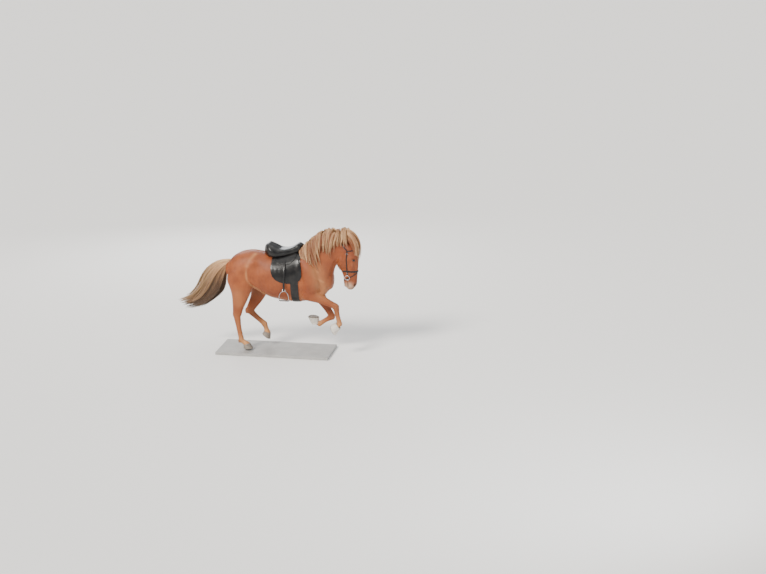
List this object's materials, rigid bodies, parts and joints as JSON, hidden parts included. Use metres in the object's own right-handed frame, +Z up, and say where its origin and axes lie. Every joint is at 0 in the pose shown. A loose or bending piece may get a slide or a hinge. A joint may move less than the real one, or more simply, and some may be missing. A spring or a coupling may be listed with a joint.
{
  "type": "icelandic horse still model",
  "caption": "Life-size still model of a chestnut Icelandic horse in mid canter, with flaxen mane and tail, saddle, bridle and bell boots, on a flat base.",
  "frame": {"origin": "on the underside of the base, between its long sides, below the horse's barrel", "axes": "+X towards the horse's head, +Y towards its left side, +Z up"},
  "size_m": [2.4438, 0.62, 1.6872],
  "materials": {
    "coat": "short chestnut hair with a soft sheen, paler on the lower legs and muzzle",
    "hair": "long flaxen hair in locks, browner in the lower tail",
    "horn": "grey-brown hoof horn with fine growth rings",
    "eye": "dark brown, wet and glossy",
    "leather": "black, satin",
    "steel": "polished steel",
    "boot": "white, matt, slightly dusty",
    "base": "smooth matt grey paint"
  },
  "bodies": {
    "root": {"torso": "coat", "neck": "coat", "head": "coat", "ear_right": "coat", "ear_left": "coat", "eye_right": "eye", "eye_left": "eye", "tail": "hair", "leg_fore_right_upper": "coat", "leg_fore_right_cannon": "coat", "leg_fore_right_pastern": "coat", "leg_fore_left_upper": "coat", "leg_fore_left_cannon": "coat", "leg_fore_left_pastern": "coat", "leg_hind_right_upper": "coat", "leg_hind_right_cannon": "coat", "leg_hind_right_pastern": "coat", "leg_hind_left_upper": "coat", "leg_hind_left_cannon": "coat", "leg_hind_left_pastern": "coat", "hoof_fore_right": "horn", "hoof_fore_left": "horn", "hoof_hind_right": "horn", "hoof_hind_left": "horn", "bell_boot_right": "boot", "bell_boot_left": "boot", "saddle_seat": "leather", "saddle_flap_right": "leather", "saddle_flap_left": "leather", "saddle_girth": "leather", "stirrup_leather_right": "leather", "stirrup_leather_left": "leather", "stirrup_iron_right": "steel", "stirrup_iron_left": "steel", "bridle_headpiece": "leather", "bridle_browband": "leather", "bridle_noseband": "leather", "bridle_flash": "leather", "bridle_bit": "steel", "stand_base": "base"}
  },
  "joints": []
}
